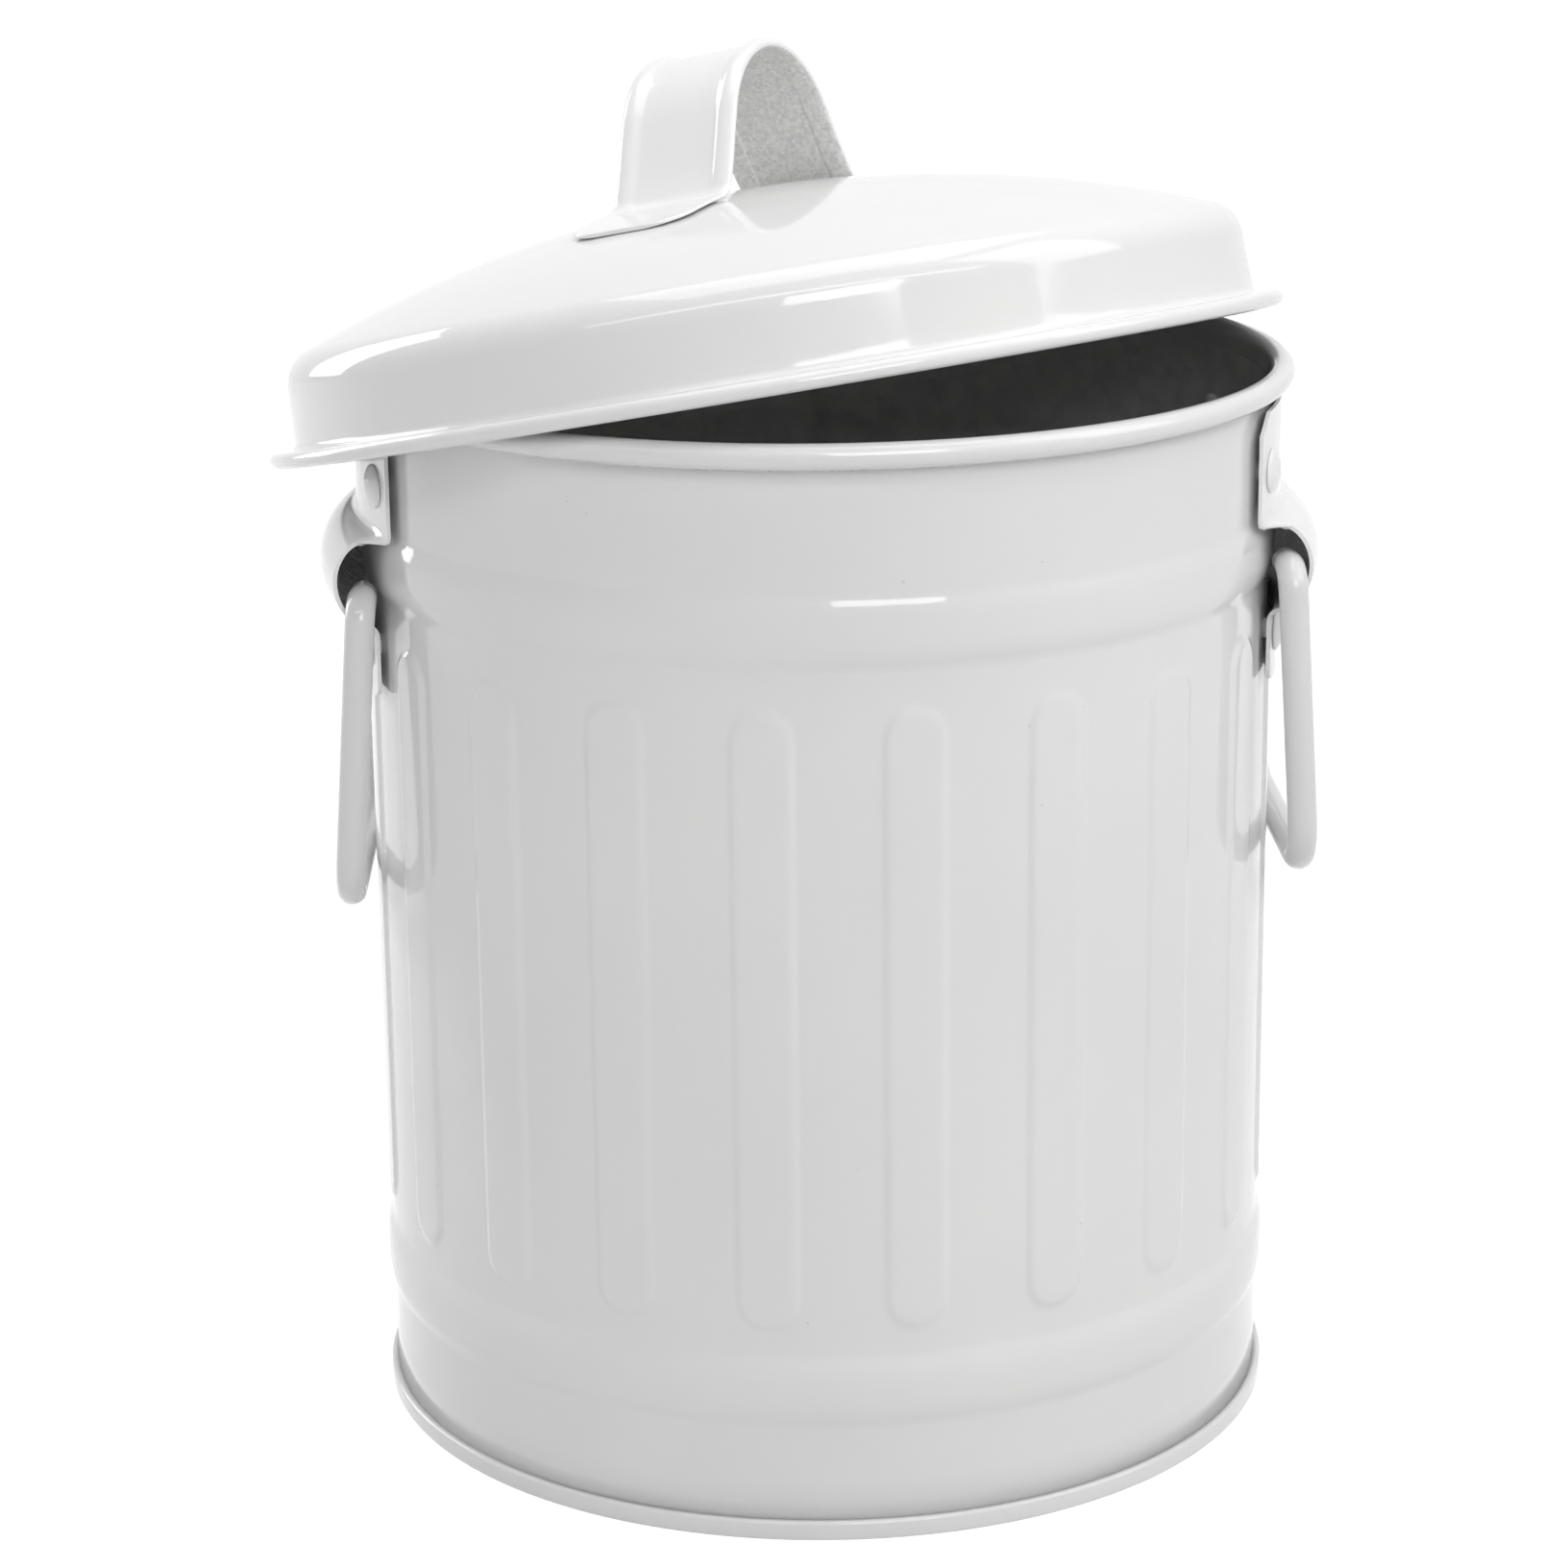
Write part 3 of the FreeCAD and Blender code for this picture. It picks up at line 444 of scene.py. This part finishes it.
def makeEar(side, turn):
    rows = earRows()
    count = ear["inner"] + 2 * ear["tab"]
    bm = bmesh.new()
    bmesh.ops.create_grid(bm, x_segments=count, y_segments=len(rows) - 1, size=1)
    grid = {}
    for vert in bm.verts:
        column = round((vert.co.x + 1) / 2 * count)
        row = round((1 - vert.co.y) / 2 * (len(rows) - 1))
        grid[vert] = (column, row)
    shoulderRow = min(range(len(rows)), key=lambda r: abs(rows[r][0] - ear["shoulder"]))
    spare = []
    for face in bm.faces:
        columns = [grid[v][0] for v in face.verts]
        lowest = max(grid[v][1] for v in face.verts)
        outside = max(columns) <= ear["tab"] or min(columns) >= count - ear["tab"]
        if outside and lowest > shoulderRow:
            spare.append(face)
    plate = can["radius"] + ear["stand"] + ear["sheet"] + ear["flat"]
    tunnelReach = ear["tunnelOut"] + ear["tunnelBend"]
    for vert, (column, row) in grid.items():
        up, out = rows[row]
        half = outlineHalf(up)
        inner = min(half, ear["tunnelHalf"])
        t = (column - ear["tab"]) / ear["inner"] * 2 - 1
        if abs(t) <= 1.0001:
            across = t * inner
        else:
            past = (abs(t) - 1) * ear["inner"] / 2 / ear["tab"]
            across = math.copysign(inner + past * max(half - inner, 0.0), t)
            out *= (1 - ease(past)) ** 1.5
        away = math.sqrt(plate ** 2 - across ** 2) - ear["flat"]
        if out:
            tunnel = math.sqrt(tunnelReach ** 2 - across ** 2) - ear["tunnelBend"] - ear["tunnelOut"]
            bow = away - (plate - ear["flat"])
            share = min(out / ear["tunnelRadius"] * 2.2, 1.0)
            away += out + (tunnel - bow) * share
        vert.co = (away, across, up)
    bmesh.ops.delete(bm, geom=spare, context="FACES")
    bmesh.ops.remove_doubles(bm, verts=bm.verts[:], dist=wideWeld)
    bmesh.ops.recalc_face_normals(bm, faces=bm.faces[:])
    flipUnless(bm, lambda mesh: sum(f.normal.x for f in mesh.faces) > 0)
    bmesh.ops.rotate(bm, verts=bm.verts[:], cent=(0, 0, 0), matrix=Matrix.Rotation(turn, 3, "Z"))
    return finishPiece(bm, side + "Ear", "can", [side + "_ear"], [earPaintWithPaintedLight, earZincWithPaintedShade],
                       wall=ear["drawn"], offsets=(1, 0), edge=ear["edge"])


# rivets; places are (level, height, degrees from the ear's middle)

rivet = {"shank": 2.0, "head": 4.3, "headLow": 0.45, "dome": 1.9, "domeIn": 0.15, "domeDrop": 0.16,
         "edge": 0.12, "tail": 3.2, "tailEdge": 0.2, "tailDeep": 1.0, "grip": 3.0, "steps": 40,
         "places": (("upper", 195.0, 19.5), ("lower", 161.6, 14.1))}


def makeRivet(side, turn, level, end, up, angle):
    name = f"{side}_ear_rivet_{level}_{end}"
    bm = bmesh.new()
    head, dome, edge = rivet["head"], rivet["dome"], rivet["edge"]
    high = dome - rivet["headLow"]
    radius = (head ** 2 + high ** 2) / (2 * high)
    spread = math.degrees(math.asin((head - rivet["domeIn"]) / radius))
    vert = startLine(bm, 0, dome)
    vert = bendRound(bm, vert, 0, dome - radius, -spread, 9)
    vert = runTo(bm, vert, head, vert.co.z - rivet["domeDrop"])
    vert = runTo(bm, vert, head, edge)
    vert = runTo(bm, vert, head - edge, 0)
    vert = runTo(bm, vert, rivet["shank"], 0, 2)
    vert = runTo(bm, vert, rivet["shank"], -rivet["grip"], 2)
    vert = runTo(bm, vert, rivet["tail"], -rivet["grip"])
    vert = runTo(bm, vert, rivet["tail"] - rivet["tailEdge"], -rivet["grip"] - rivet["tailDeep"])
    runTo(bm, vert, 0, -rivet["grip"] - rivet["tailDeep"])
    turnFull(bm, rivet["steps"])
    flipUnless(bm, topFacesUp)
    away = can["radius"] + ear["stand"] + ear["sheet"] + ear["flat"]
    spot = Matrix.Rotation(angle, 4, "Z") @ Vector((away, 0, up)) - Vector((ear["flat"], 0, 0))
    place = (Matrix.Rotation(turn, 4, "Z") @ Matrix.Translation(spot * millimetre)
             @ Matrix.Rotation(angle, 4, "Z") @ Matrix.Rotation(math.pi / 2, 4, "Y"))
    return finishPiece(bm, side + "Rivet" + level.title() + end.title(), "can", [name],
                       [earPaintWithPaintedLight], place)


# bails

bail = {"rod": 2.9, "half": 37.0, "tip": 28.0, "drop": 60.2, "pinBend": 4.5, "gripBend": 11.0, "sides": 28,
        "right": {"out": 90.2, "up": 176.0, "lean": 3.4}, "left": {"out": 89.4, "up": 172.6, "lean": 4.2}}


def makeBail(side, turn):
    bm = bmesh.new()
    start = Vector((0, bail["tip"], 0))
    ring = bmesh.ops.create_circle(bm, segments=bail["sides"], radius=bail["rod"], cap_ends=False)["verts"]
    bmesh.ops.rotate(bm, verts=ring, cent=(0, 0, 0), matrix=Matrix.Rotation(math.pi / 2, 3, "X"))
    bmesh.ops.translate(bm, verts=ring, vec=start)
    firstRing = bm.edges[:]

    def push(edges, vec):
        out = bmesh.ops.extrude_edge_only(bm, edges=edges)["geom"]
        bmesh.ops.translate(bm, verts=[g for g in out if isinstance(g, bmesh.types.BMVert)], vec=vec)
        return [g for g in out if isinstance(g, bmesh.types.BMEdge)]

    def bend(edges, cent, degrees, steps):
        verts = list({v for e in edges for v in e.verts})
        out = bmesh.ops.spin(bm, geom=verts + edges, cent=cent, axis=(1, 0, 0), angle=math.radians(degrees),
                             steps=steps, use_merge=False, use_duplicate=False)["geom_last"]
        return [g for g in out if isinstance(g, bmesh.types.BMEdge)]

    half, pin, grip = bail["half"], bail["pinBend"], bail["gripBend"]
    edges = push(firstRing, (0, half - pin - bail["tip"], 0))
    edges = bend(edges, (0, half - pin, -pin), -90, 10)
    edges = push(edges, (0, 0, -(bail["drop"] - pin - grip)))
    edges = bend(edges, (0, half - grip, -(bail["drop"] - grip)), -90, 14)
    push(edges, (0, -(half - grip), 0))
    rim = [e for e in bm.edges if e.is_boundary and abs(e.verts[0].co.y - bail["tip"]) < 0.01
           and abs(e.verts[1].co.y - bail["tip"]) < 0.01]
    cap = bmesh.ops.extrude_edge_only(bm, edges=rim)["geom"]
    capVerts = [g for g in cap if isinstance(g, bmesh.types.BMVert)]
    bmesh.ops.translate(bm, verts=capVerts, vec=(0, -0.4, 0))
    for vert in capVerts:
        vert.co.x, vert.co.z = vert.co.x * 0.82, vert.co.z * 0.82
    capEdges = [g for g in cap if isinstance(g, bmesh.types.BMEdge)]
    bmesh.ops.contextual_create(bm, geom=capEdges)
    for vert in capVerts:
        vert.co.y += 0.4
    for vert in bm.verts:
        if vert not in capVerts and abs(vert.co.y - bail["tip"]) < 0.01:
            vert.co.y += 0.45
    bmesh.ops.mirror(bm, geom=bm.verts[:] + bm.edges[:] + bm.faces[:], axis="Y", merge_dist=wideWeld)
    bmesh.ops.remove_doubles(bm, verts=bm.verts[:], dist=wideWeld)
    bmesh.ops.recalc_face_normals(bm, faces=bm.faces[:])
    hang = bail[side]
    pins = Vector((hang["out"], 0, hang["up"])) * millimetre
    place = (Matrix.Rotation(turn, 4, "Z") @ Matrix.Translation(pins)
             @ Matrix.Rotation(math.radians(-hang["lean"]), 4, "Y"))
    return finishPiece(bm, side + "Bail", side + "_bail", [side + "_bail"], [bailPaintWithPaintedShade], place)


for side, turn in (("right", 0.0), ("left", math.pi)):
    makeEar(side, turn)
    for level, up, angle in rivet["places"]:
        for end, way in (("front", -1), ("rear", 1)):
            flip = way if side == "right" else -way
            makeRivet(side, turn, level, end, up, math.radians(flip * angle))
    makeBail(side, turn)
print("ears, rivets and bails made")


# lid shell

lid = {"skirt": 96.75, "skirtTop": 96.3, "skirtHigh": 15.0, "shoulder": 7.85, "dome": 249.3, "reach": 102.3,
       "bead": 1.6, "beadTurn": 220, "flare": 1.5, "sheet": 0.5, "steps": 320, "tilt": 12.86, "lean": 131.0,
       "place": (-7.7, 7.9, 205.5)}
lean = math.radians(lid["lean"])
lidPlace = (Matrix.Translation(Vector(lid["place"]) * millimetre)
            @ Matrix.Rotation(math.radians(lid["tilt"]), 4, Vector((-math.sin(lean), math.cos(lean), 0))))


def lidTop():
    across = lid["skirtTop"] - lid["shoulder"]
    slope = math.asin(across / (lid["dome"] - lid["shoulder"]))
    top = lid["skirtHigh"] + lid["shoulder"] * math.cos(slope) + lid["dome"] * (1 - math.cos(slope))
    return top, slope


def makeLidShell():
    bm = bmesh.new()
    top, slope = lidTop()
    vert = startLine(bm, 0, top)
    vert = bendRound(bm, vert, 0, top - lid["dome"], -math.degrees(slope), 30)
    vert = bendRound(bm, vert, lid["skirtTop"] - lid["shoulder"], lid["skirtHigh"],
                     -(90 - math.degrees(slope)), 14)
    foot = 2 * lid["bead"] + lid["flare"]
    vert = runTo(bm, vert, lid["skirt"], foot, 6)
    vert = bendRound(bm, vert, lid["skirt"] + lid["flare"], foot, 90, 7)
    vert = runTo(bm, vert, lid["reach"] - lid["bead"], 2 * lid["bead"], 2)
    bendRound(bm, vert, lid["reach"] - lid["bead"], lid["bead"], -lid["beadTurn"], 18)
    turnFull(bm, lid["steps"])
    flipUnless(bm, topFacesUp)
    return finishPiece(bm, "lidShell", "lid", ["lid_shell"], [lidPaintWithPaintedLight, bareZinc], lidPlace,
                       wall=lid["sheet"], offsets=(1, 0))


makeLidShell()
print("lid shell made")


# strap handle

strap = {"width": 25.5, "sheet": 0.8, "hem": 4.6, "top": 28.5, "crown": 24.0, "foot": 32.4, "heel": 4.5,
         "toe": 53.5, "toeCorner": 8.0, "shift": -1.5, "turn": 63.3, "recess": 0.85, "bead": 4.2, "fold": 2.1,
         "hub": 30, "inward": -0.4}


def strapStations():
    # half the strap from the crown to the toe: middle, outward direction, how flat the section is
    dome, heel, crown = lid["dome"] + strap["sheet"], strap["heel"], strap["crown"]
    slope = math.asin(strap["foot"] / dome)
    crownMiddle = Vector((0, strap["top"] - crown))
    down = Vector((math.sin(slope), math.cos(slope)))
    heelMiddle = Vector((0, -lid["dome"])) + down * (dome + heel)
    span = heelMiddle - crownMiddle
    lean = math.atan2(span.y, span.x) - math.asin((crown + heel) / span.length)
    side = Vector((-math.sin(lean), math.cos(lean)))
    stations = []
    for i in range(19):
        angle = math.pi / 2 + (math.atan2(side.y, side.x) - math.pi / 2) * i / 18
        out = Vector((math.cos(angle), math.sin(angle)))
        stations.append((crownMiddle + out * crown, out, 0.0))
    start, end = crownMiddle + side * crown, heelMiddle - side * heel
    for i in range(1, 9):
        stations.append((start.lerp(end, i / 8), side, ease((i - 6) / 4)))
    first, last = math.atan2(-side.y, -side.x), math.atan2(-down.y, -down.x)
    for i in range(1, 9):
        angle = first + (last - first) * i / 8
        back = Vector((math.cos(angle), math.sin(angle)))
        stations.append((heelMiddle + back * heel, -back, 0.5 + 0.5 * ease(i / 8)))
    toeSlope = math.asin(strap["toe"] / dome)
    for i in range(1, 25):
        angle = slope + (toeSlope - slope) * (1 - (1 - i / 24) ** 1.6)
        out = Vector((math.sin(angle), math.cos(angle)))
        stations.append((Vector((0, -lid["dome"])) + out * dome, out, 1.0))
    return stations


def strapSection():
    # each point: across, depth on the arch, depth on the foot; a round bead runs along both edges
    half, hem, sheet, fold = strap["width"] / 2, strap["hem"], strap["sheet"], strap["fold"]
    recess, bead = strap["recess"], strap["bead"]
    under = recess + sheet
    upper = [(0.0, -recess, 0.0), (4.0, -recess, 0.0), (half - bead - 0.9, -recess, 0.0),
             (half - bead - 0.2, -recess * 0.86, 0.0), (half - bead + 0.5, -recess * 0.45, 0.0),
             (half - bead + 1.2, -recess * 0.12, 0.0), (half - bead / 2, 0.0, 0.0), (half - 1.1, -0.14, 0.0),
             (half - 0.5, -0.42, -0.03), (half - 0.12, -0.85, -0.15), (half, -1.3, -0.38)]
    lower = [(half - 0.12, -1.7, -0.6), (half - 0.5, -fold + 0.1, -0.74), (half - 1.1, -fold, -sheet),
             (half - hem + 0.4, -fold, -sheet), (half - hem, -fold + 0.12, -sheet),
             (half - hem - 0.08, -under - 0.05, -sheet), (half - hem - 0.5, -under, -sheet),
             (0.0, -under, -sheet)]
    right = upper + lower
    left = [(-across, deep, flat) for across, deep, flat in reversed(right[1:-1])]
    return right + left


def makeLidHandle():
    top = lidTop()[0]
    stations, section = strapStations(), strapSection()
    along, around = len(stations) - 1, len(section)
    bm = bmesh.new()
    bmesh.ops.create_grid(bm, x_segments=along, y_segments=around, size=1)
    toeStart = strap["toe"] - strap["toeCorner"]
    for vert in bm.verts:
        i = round((vert.co.x + 1) / 2 * along)
        j = round((vert.co.y + 1) / 2 * around) % around
        middle, out, flat = stations[i]
        across, deep, flatDeep = section[j]
        deep = deep + (flatDeep - deep) * flat
        half = strap["width"] / 2
        past = max(middle.x - toeStart, 0.0)
        narrow = half - strap["toeCorner"] + math.sqrt(max(strap["toeCorner"] ** 2 - past ** 2, 0.0))
        across *= narrow / half
        spot = middle + out * deep
        vert.co = (spot.x, across, spot.y + top)
    bmesh.ops.remove_doubles(bm, verts=bm.verts[:], dist=weld)
    bmesh.ops.mirror(bm, geom=bm.verts[:] + bm.edges[:] + bm.faces[:], axis="X", merge_dist=wideWeld)
    bmesh.ops.remove_doubles(bm, verts=bm.verts[:], dist=weld)
    ends = [e for e in bm.edges if e.is_boundary]
    bmesh.ops.holes_fill(bm, edges=ends, sides=0)
    bmesh.ops.recalc_face_normals(bm, faces=bm.faces[:])
    bm.normal_update()
    # faces that look at a hub under the arch are bare
    hub = Vector((0, 0, top - strap["hub"]))
    for face in bm.faces:
        middle = face.calc_center_median()
        outward = Vector((middle.x, 0, middle.z)) - hub
        face.material_index = 1 if face.normal.dot(outward.normalized()) < strap["inward"] else 0
    place = (lidPlace @ Matrix.Translation((strap["shift"] * millimetre, 0, 0))
             @ Matrix.Rotation(math.radians(strap["turn"]), 4, "Z"))
    return finishPiece(bm, "lidHandle", "lid", ["lid_handle"], [handlePaintWithPaintedLight, bareZinc], place)


makeLidHandle()
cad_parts["rim_wire"].data.materials.clear()
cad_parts["rim_wire"].data.materials.append(wireSteel)
print("lid handle made")


# camera, floor and light

camera = {"place": (-0.03086, -0.82205, 0.35874), "yaw": 1.634, "pitch": 15.880, "roll": -0.675,
          "pixels": 4361.5, "frame": 1632, "sensor": 36, "clip": (0.01, 50)}


def makeCamera():
    yaw, pitch, roll = (math.radians(camera[k]) for k in ("yaw", "pitch", "roll"))
    forward = Vector((math.sin(yaw) * math.cos(pitch), math.cos(yaw) * math.cos(pitch), -math.sin(pitch)))
    right = Vector((math.cos(yaw), -math.sin(yaw), 0))
    up = right.cross(forward)
    across = right * math.cos(roll) + up * math.sin(roll)
    above = up * math.cos(roll) - right * math.sin(roll)
    data = bpy.data.cameras.new("camera")
    data.sensor_width = camera["sensor"]
    data.lens = camera["sensor"] * camera["pixels"] / camera["frame"]
    data.clip_start, data.clip_end = camera["clip"]
    item = bpy.data.objects.new("camera", data)
    bpy.context.scene.collection.objects.link(item)
    turn = Matrix((across, above, -forward)).transposed().to_4x4()
    item.matrix_world = Matrix.Translation(Vector(camera["place"])) @ turn
    bpy.context.scene.camera = item


def seenDirectly(tree):
    path = tree.nodes.new("ShaderNodeLightPath")
    seen = path.outputs["Is Camera Ray"]
    for other in ("Is Glossy Ray", "Is Transmission Ray"):
        join = tree.nodes.new("ShaderNodeMath")
        join.operation = "MAXIMUM"
        tree.links.new(seen, join.inputs[0])
        tree.links.new(path.outputs[other], join.inputs[1])
        seen = join.outputs[0]
    return seen


studio = {"fill": 0.12, "fillSlope": (0.0, 0.0, 0.06), "backdrop": 1.0, "floor": 0.75, "floorGlow": 0.75,
          "floorWhite": 1.3, "floorSize": 20.0, "floorRough": 0.9}


def makeFloor():
    bm = bmesh.new()
    bmesh.ops.create_grid(bm, x_segments=8, y_segments=8, size=studio["floorSize"] / 2)
    mesh = bpy.data.meshes.new("floor")
    bm.to_mesh(mesh)
    bm.free()
    floor = bpy.data.objects.new("floor", mesh)
    bpy.context.scene.collection.objects.link(floor)
    mat, tree, shader, _ = newMaterial("pale floor")
    shader.inputs["Base Color"].default_value = (*grey(studio["floor"]), 1)
    shader.inputs["Roughness"].default_value = studio["floorRough"]
    glow = tree.nodes.new("ShaderNodeEmission")
    glow.inputs["Strength"].default_value = studio["backdrop"] * studio["floorWhite"]
    mix = tree.nodes.new("ShaderNodeMixShader")
    amount = tree.nodes.new("ShaderNodeMath")
    amount.operation = "MULTIPLY"
    amount.inputs[1].default_value = studio["floorGlow"]
    tree.links.new(seenDirectly(tree), amount.inputs[0])
    tree.links.new(amount.outputs[0], mix.inputs["Fac"])
    tree.links.new(shader.outputs["BSDF"], mix.inputs[1])
    tree.links.new(glow.outputs[0], mix.inputs[2])
    output = [n for n in tree.nodes if n.type == "OUTPUT_MATERIAL"][0]
    tree.links.new(mix.outputs[0], output.inputs["Surface"])
    mesh.materials.append(mat)


def makeWorld():
    world = bpy.data.worlds.new("studio")
    bpy.context.scene.world = world
    world.use_nodes = True
    tree = world.node_tree
    tree.nodes.clear()
    coords = tree.nodes.new("ShaderNodeTexCoord")
    slope = tree.nodes.new("ShaderNodeVectorMath")
    slope.operation = "DOT_PRODUCT"
    slope.inputs[1].default_value = studio["fillSlope"]
    tree.links.new(coords.outputs["Generated"], slope.inputs[0])
    level = tree.nodes.new("ShaderNodeMath")
    level.operation = "ADD"
    level.inputs[1].default_value = studio["fill"]
    tree.links.new(slope.outputs["Value"], level.inputs[0])
    light = tree.nodes.new("ShaderNodeBackground")
    tree.links.new(level.outputs[0], light.inputs["Strength"])
    seen = tree.nodes.new("ShaderNodeBackground")
    seen.inputs["Strength"].default_value = studio["backdrop"]
    for node in (light, seen):
        node.inputs["Color"].default_value = (1, 1, 1, 1)
    mix = tree.nodes.new("ShaderNodeMixShader")
    tree.links.new(seenDirectly(tree), mix.inputs["Fac"])
    tree.links.new(light.outputs[0], mix.inputs[1])
    tree.links.new(seen.outputs[0], mix.inputs[2])
    out = tree.nodes.new("ShaderNodeOutputWorld")
    tree.links.new(mix.outputs[0], out.inputs["Surface"])


lamps = (
    {"name": "overhead", "place": (0.0, 0.15, 1.2), "aim": (0, 0, 0.13), "size": (0.9, 0.9), "power": 5.4},
    {"name": "high right", "place": (0.9, -0.2, 0.9), "aim": (0, 0, 0.13), "size": (0.6, 0.9), "power": 4.4},
    {"name": "front", "place": (0.35, -1.3, 0.9), "aim": (0, 0, 0.13), "size": (0.7, 0.5), "power": 6.6},
    {"name": "front strip", "place": (0.0, -0.9, 1.1), "aim": (0, 0, 0.15), "size": (2.4, 0.12),
     "power": 3.6},
    {"name": "left rear", "place": (-1.0, 0.8, 0.55), "aim": (0, 0, 0.13), "size": (0.5, 0.9), "power": 6.3},
    {"name": "left side", "place": (-1.2, -0.15, 0.2), "aim": (0, 0, 0.18), "size": (0.4, 0.3), "power": 1.4,
     "mirrored": False},
)


def makeLamp(facts):
    data = bpy.data.lights.new(facts["name"], "AREA")
    data.shape = "RECTANGLE"
    data.size, data.size_y = facts["size"]
    data.energy = facts["power"]
    item = bpy.data.objects.new(facts["name"], data)
    bpy.context.scene.collection.objects.link(item)
    item.location = facts["place"]
    item.visible_glossy = facts.get("mirrored", True)
    aim = Vector(facts["aim"]) - Vector(facts["place"])
    item.rotation_mode = "QUATERNION"
    item.rotation_quaternion = aim.to_track_quat("-Z", "Y")


makeCamera()
makeFloor()
makeWorld()
for facts in lamps:
    makeLamp(facts)
bpy.context.scene.view_settings.view_transform = "Standard"
print("camera, floor and lamps made")
